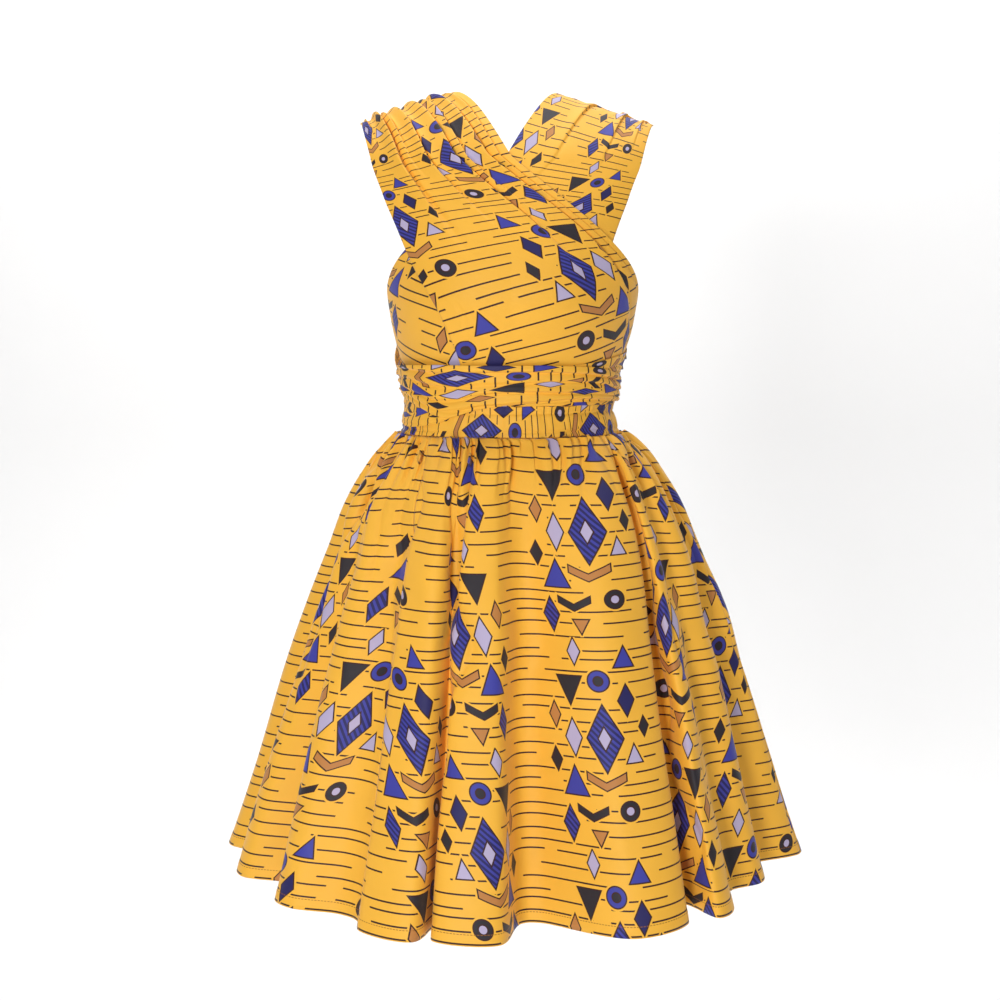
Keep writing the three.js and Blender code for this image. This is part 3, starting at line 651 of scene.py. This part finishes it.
def skirt_point(share, drop):
    """A place on the skirt's form, by its share of the cloth round and of the length down."""
    turn = turn_at_share(share)
    gathered = turn + GATHER_SHIFT * np.sin(2 * np.radians(turn))
    waist = figure_point(gathered, SHOULDER_ARC + SHOULDER_BASE - SKIRT_TOP + 0 * turn)
    length = np.mod(share, 1) * HEM_LENGTH
    x, y = (np.interp(length, HEM_LENGTHS, HEM[:, k]) for k in (0, 1))
    facing = -np.cos(np.radians(turn))
    hem = HEM_SIDE + (np.where(facing < 0, HEM_FRONT, HEM_BACK) - HEM_SIDE) * facing ** 2
    flare = flare_at(drop, turn)
    return np.stack([waist[..., 0] + (x - waist[..., 0]) * flare,
                     waist[..., 1] + (y - waist[..., 1]) * flare,
                     SKIRT_TOP + (hem - SKIRT_TOP) * drop], -1)


WAVES = table(
    "count rise full ends seed",
    (88, 3.0, 0.02, 0.16, 102), (47, 6.4, 0.07, 0.42, 103), (25, 9.0, 0.2, 0.95, 104),
)


def waist_gathers(count=92):
    """Small tucks where the skirt is gathered on to the waistband, uneven in every way."""
    pick = np.random.default_rng(7)
    places = (np.arange(count) + pick.uniform(-0.4, 0.4, count)) / count
    return {
        "across": places,
        "rise": pick.uniform(2.2, 5.6, count),
        "spread": pick.uniform(3.5, 8, count) / 690,
        "ends": 0.03 + 0.2 * pick.uniform(0, 1, count) ** 1.6,
    }


GATHERS = waist_gathers()


def skirt_shape(share, drop):
    """Waves that merge and die away down the skirt, under the tucks at the waist."""
    relief = np.zeros_like(drop)
    for count, rise, full, ends, seed in zip(*WAVES.values()):
        count, seed = int(count), int(seed)
        uneven = 1 + 0.6 * noise(share * 23, 0 * drop, seed + 20, 23)
        wander = 0.4 * noise(share * (count // 3), drop * 7, seed + 40, count // 3)
        wave = 2 * np.abs(noise(share * count + wander, 0 * drop, seed, count)) ** 0.62 - 1.1
        grow = 0.35 + 0.65 * ramp(drop, 0, full)
        relief += rise * wave * grow * (1 - ramp(drop, full, ends * uneven))
    relief += 4.2 * noise(share * 52, drop * 2.4, 105, 52) * ramp(drop, 0.25, 0.9)
    tucks, lean = pleats(share, drop, GATHERS, 0.8 + 6 * drop, 0.5)
    return relief + tucks, lean


def skirt_panel(name, node, first, last, columns, offset):
    """One panel, with its seams drawn in a little and its hem turned up."""
    rows = 120
    start, end = share_at_turn(np.array(first)), share_at_turn(np.array(last))
    end = end + 1 if end < start else end
    margin = SKIRT_INSET / HEM_LENGTH
    drop, share = np.meshgrid(np.linspace(0, 1, rows + 1) ** 1.15,
                              np.linspace(start + margin, end - margin, columns + 1), indexing="ij")
    gathers, lean = skirt_shape(share, drop)
    near = np.minimum(share - start, end - share) * HEM_LENGTH
    grid = skirt_point(share + lean * ramp(near, 0, 20) * ramp(drop, 0, 0.01), drop)
    seam = -0.9 * np.exp(-((near / 3) ** 2))
    hem = 0.5 * ramp(drop, 0.975, 0.98)
    relief = gathers + seam + hem + 0.2
    relief[0] = 0.2
    middle = (start + end) / 2
    jog = 0.75 * gathers * (1 - ramp(drop, 0.1, 0.5))
    uv = np.stack([(share - middle) * HEM_LENGTH * MM * (0.5 + 0.5 * drop) + offset,
                   (jog - drop * SKIRT_LENGTH) * MM], -1)
    piece = cloth_mesh(name, grid, relief, uv)
    # each panel is cut flared: half as wide at the waist, before gathering, as at the hem
    finish_piece(piece, node, SKIRT)


skirt_panel("skirt_front_cloth", "skirt_front", -35, 85, 260, 0.0)
skirt_panel("skirt_back_left_cloth", "skirt_back_left", 85, 205, 235, 0.431)
skirt_panel("skirt_back_right_cloth", "skirt_back_right", 205, 325, 235, 0.967)

# ---------------------------------------------------------------- the tie
KNOT_LEVEL, KNOT_LIFT = 344, 17
KNOT_HALF = (16.5, 11.5, 18.5)


def knot():
    """The knot, as one wrinkled turn of cloth."""
    rise, angle = np.meshgrid(np.linspace(-0.995, 0.995, 41), np.linspace(0, 2 * np.pi, 65), indexing="ij")
    rise = np.sin(rise * np.pi / 2)
    girth = np.sqrt(1 - rise ** 2) ** 0.7
    middle = lifted_point(np.array(180.0), np.array(float(KNOT_LEVEL)), np.array(float(KNOT_LIFT)))
    crease = np.exp(-((rise - 0.1 * np.sin(angle)) / 0.12) ** 2)
    wrinkle = 1 + 0.06 * np.sin(5 * rise + 1.3 * np.cos(angle)) - 0.07 * crease
    x = middle[0] + KNOT_HALF[0] * girth * np.cos(angle) * wrinkle
    y = middle[1] + KNOT_HALF[1] * girth * np.sin(angle) * wrinkle
    z = middle[2] + KNOT_HALF[2] * rise
    grid = np.stack([x, y, z], -1)[::-1]
    uv = np.stack([angle / (2 * np.pi) * 0.09, rise * 0.02], -1)
    piece = cloth_mesh("tie_knot_cloth", grid, np.full_like(x, -1.2), uv)
    finish_piece(piece, "tie_knot", WAIST)


def back_reach(z):
    """How far behind the centre line the crests of the skirt reach at a height."""
    drop = np.clip((SKIRT_TOP - z) / (SKIRT_TOP - HEM_BACK), 0, 1)
    waist = figure_point(np.array(180.0), np.array(SHOULDER_ARC + SHOULDER_BASE - SKIRT_TOP))[1]
    near = np.abs(FOLDS["crest"] - 180) < 30
    return waist + (FOLDS["reach"][near].max() - waist) * flare_at(drop, 180)


def tail(name, node, side, length, seed):
    """One free end of a strap, hanging from the knot over the skirt."""
    rows = table("share half aside", (0, 8, 9), (0.2, 17, 17), (0.6, 25, 31), (1, 29, 41))
    down, across = np.meshgrid(np.linspace(0, 1, 111), np.linspace(-1, 1, 41), indexing="ij")
    top = lifted_point(np.array(180.0), np.array(float(KNOT_LEVEL)), np.array(0.0))[2] - 19.3
    z = top - down * length * 0.9
    x = side * smooth(rows["share"], rows["aside"], down) - smooth(rows["share"], rows["half"], down) * across
    reach = back_reach(z) + 5.3 + (2.6 if side > 0 else 0)
    grid = np.stack([x, np.sqrt(reach ** 2 - x ** 2), z], -1)
    relief = 1.2 * noise(across * 3, down * 3, seed) + 1.6 * np.sin(across * 5 + seed) * (1 - 0.6 * down)
    uv = np.stack([across * 0.045, down * length * MM], -1)
    piece = cloth_mesh(name, grid, relief + 1.5, uv)
    finish_piece(piece, node, BODICE)


knot()
tail("tie_tail_right_cloth", "tie_tail_right", -1, 238.0, 121)
tail("tie_tail_left_cloth", "tie_tail_left", 1, 214.0, 131)


# ---------------------------------------------------------------- stage, lights and camera
def sweep():
    """A pale floor that curves up into a wall behind."""
    floor, radius, back, wall = -1.3, 0.8, 1.6, 2.6
    profile = [(-3.5, floor)]
    profile += [(back + radius * math.sin(a), floor + radius * (1 - math.cos(a)))
                for a in np.linspace(0, math.pi / 2, 16)]
    profile.append((back + radius, wall))
    points = [(x, y, z) for y, z in profile for x in (-4.5, 4.5)]
    faces = [(2 * i, 2 * i + 1, 2 * i + 3, 2 * i + 2) for i in range(len(profile) - 1)]
    mesh = bpy.data.meshes.new("studio_sweep")
    mesh.from_pydata(points, [], faces)
    mesh.polygons.foreach_set("use_smooth", [True] * len(faces))
    stage = bpy.data.objects.new("studio_sweep", mesh)
    bpy.context.scene.collection.objects.link(stage)
    material = bpy.data.materials.new("studio_white")
    material.use_nodes = True
    shader = material.node_tree.nodes["Principled BSDF"]
    shader.inputs["Base Color"].default_value = (0.95, 0.95, 0.95, 1)
    shader.inputs["Roughness"].default_value = 0.9
    mesh.materials.append(material)


def area_light(name, place, aim, size, power):
    """A soft square light that faces what it is aimed at."""
    data = bpy.data.lights.new(name, "AREA")
    data.shape, data.size, data.energy = "SQUARE", size, power
    light = bpy.data.objects.new(name, data)
    light.location = place
    light.rotation_euler = (Vector(aim) - Vector(place)).to_track_quat("-Z", "Y").to_euler()
    bpy.context.scene.collection.objects.link(light)


def studio():
    """The pale stage, the soft lights and the camera."""
    sweep()
    middle = (0, 0, -0.4)
    area_light("key", (-0.8, -2.8, -0.25), middle, 0.6, 41.5)
    area_light("fill", (1.6, -2.8, 0.3), (0, 0, -0.2), 1.6, 8)
    area_light("back_wash", (0, 0.8, 2.2), (0, 2.4, -0.3), 3.0, 105)
    world = bpy.data.worlds.new("studio")
    world.use_nodes = True
    background = world.node_tree.nodes["Background"]
    background.inputs["Color"].default_value = (1, 1, 1, 1)
    background.inputs["Strength"].default_value = 0.17
    scene = bpy.context.scene
    scene.world = world
    scene.view_settings.view_transform = "Standard"
    camera = bpy.data.cameras.new("camera")
    camera.sensor_width = 36
    camera.lens = 63.6
    camera.shift_y = -0.115
    viewer = bpy.data.objects.new("camera", camera)
    viewer.location = (-0.012, -2.05, -0.246)
    viewer.rotation_euler = (math.radians(90 - 1.89), 0, 0)
    scene.collection.objects.link(viewer)
    scene.camera = viewer


studio()
